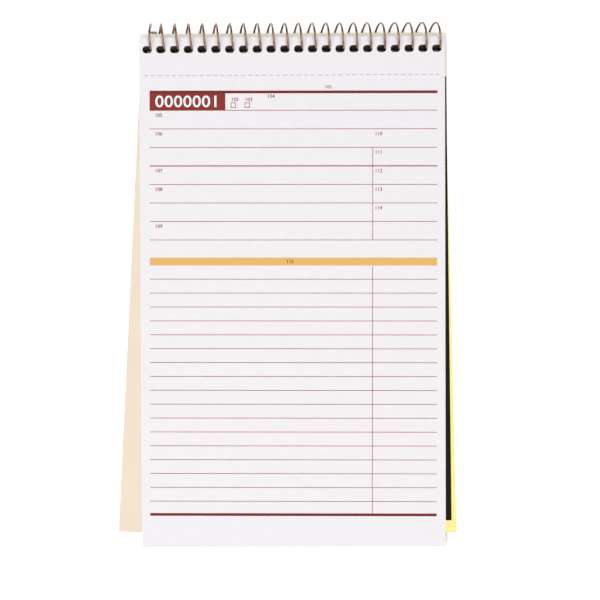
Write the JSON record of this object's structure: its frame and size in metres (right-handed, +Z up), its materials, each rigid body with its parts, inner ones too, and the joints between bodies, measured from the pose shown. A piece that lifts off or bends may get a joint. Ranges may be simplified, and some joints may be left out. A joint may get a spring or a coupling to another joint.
{
  "type": "quotation book",
  "caption": "Top-bound duplicate form book: perforated white originals, canary copies, a loose carbon sheet and a loose writing shield on a wire spiral over a board back cover.",
  "frame": {"origin": "centre of the back cover's underside", "axes": "+X along the wire spiral, to the right of someone reading the book; +Y from the foot of the book to the spiral; +Z up, out of the top leaf"},
  "size_m": [0.1552, 0.2419, 0.0143],
  "materials": {
    "white_paper": "matte",
    "canary_paper": "matte",
    "stacked_paper": "matte",
    "carbon_paper": "waxy",
    "manila_tag": "matte",
    "lined_board": "matte",
    "bronze_wire": "bronze lacquer over steel, semi-gloss"
  },
  "bodies": {
    "back": {"back_cover": "lined_board", "wire_spiral": "bronze_wire"},
    "sets_43_to_50": {"sets_43_to_50": "stacked_paper"},
    "sets_35_to_42": {"sets_35_to_42": "stacked_paper"},
    "sets_27_to_34": {"sets_27_to_34": "stacked_paper"},
    "sets_19_to_26": {"sets_19_to_26": "stacked_paper"},
    "sets_11_to_18": {"sets_11_to_18": "stacked_paper"},
    "sets_03_to_10": {"sets_03_to_10": "stacked_paper"},
    "canary_leaf_2": {"canary_leaf_2": "canary_paper"},
    "white_leaf_2": {"white_leaf_2": "white_paper"},
    "writing_shield": {"writing_shield": "manila_tag"},
    "canary_leaf_1": {"canary_leaf_1": "canary_paper"},
    "carbon_sheet": {"carbon_sheet": "carbon_paper"},
    "white_leaf_1": {"white_leaf_1": "white_paper"}
  },
  "joints": [
    {"name": "sets_43_to_50_turn", "type": "hinge", "parent": "back", "child": "sets_43_to_50", "pos_m": [0, 0.11551, 0.0046], "axis": [1, 0, 0], "range_deg": [-180, 0]},
    {"name": "sets_35_to_42_turn", "type": "hinge", "parent": "sets_43_to_50", "child": "sets_35_to_42", "pos_m": [0, 0.11551, 0.0046], "axis": [1, 0, 0], "range_deg": [-180, 0]},
    {"name": "sets_27_to_34_turn", "type": "hinge", "parent": "sets_35_to_42", "child": "sets_27_to_34", "pos_m": [0, 0.11551, 0.0046], "axis": [1, 0, 0], "range_deg": [-180, 0]},
    {"name": "sets_19_to_26_turn", "type": "hinge", "parent": "sets_27_to_34", "child": "sets_19_to_26", "pos_m": [0, 0.11551, 0.0046], "axis": [1, 0, 0], "range_deg": [-180, 0]},
    {"name": "sets_11_to_18_turn", "type": "hinge", "parent": "sets_19_to_26", "child": "sets_11_to_18", "pos_m": [0, 0.11551, 0.0046], "axis": [1, 0, 0], "range_deg": [-180, 0]},
    {"name": "sets_03_to_10_turn", "type": "hinge", "parent": "sets_11_to_18", "child": "sets_03_to_10", "pos_m": [0, 0.11551, 0.0046], "axis": [1, 0, 0], "range_deg": [-180, 0]},
    {"name": "canary_leaf_2_turn", "type": "hinge", "parent": "sets_03_to_10", "child": "canary_leaf_2", "pos_m": [0, 0.11551, 0.0046], "axis": [1, 0, 0], "range_deg": [-180, 0]},
    {"name": "white_leaf_2_turn", "type": "hinge", "parent": "canary_leaf_2", "child": "white_leaf_2", "pos_m": [0, 0.11551, 0.0046], "axis": [1, 0, 0], "range_deg": [-180, 0]},
    {"name": "writing_shield_slide", "type": "slide", "parent": "white_leaf_2", "child": "writing_shield", "axis": [-0.0523, -0.9986, 0], "range_m": [0, 0.2]},
    {"name": "canary_leaf_1_turn", "type": "hinge", "parent": "white_leaf_2", "child": "canary_leaf_1", "pos_m": [0, 0.11551, 0.0046], "axis": [1, 0, 0], "range_deg": [-180, 0]},
    {"name": "carbon_sheet_slide", "type": "slide", "parent": "canary_leaf_1", "child": "carbon_sheet", "axis": [0.0105, -0.9999, 0], "range_m": [0, 0.19]},
    {"name": "white_leaf_1_turn", "type": "hinge", "parent": "canary_leaf_1", "child": "white_leaf_1", "pos_m": [0, 0.11551, 0.0046], "axis": [1, 0, 0], "range_deg": [-180, 0]}
  ]
}
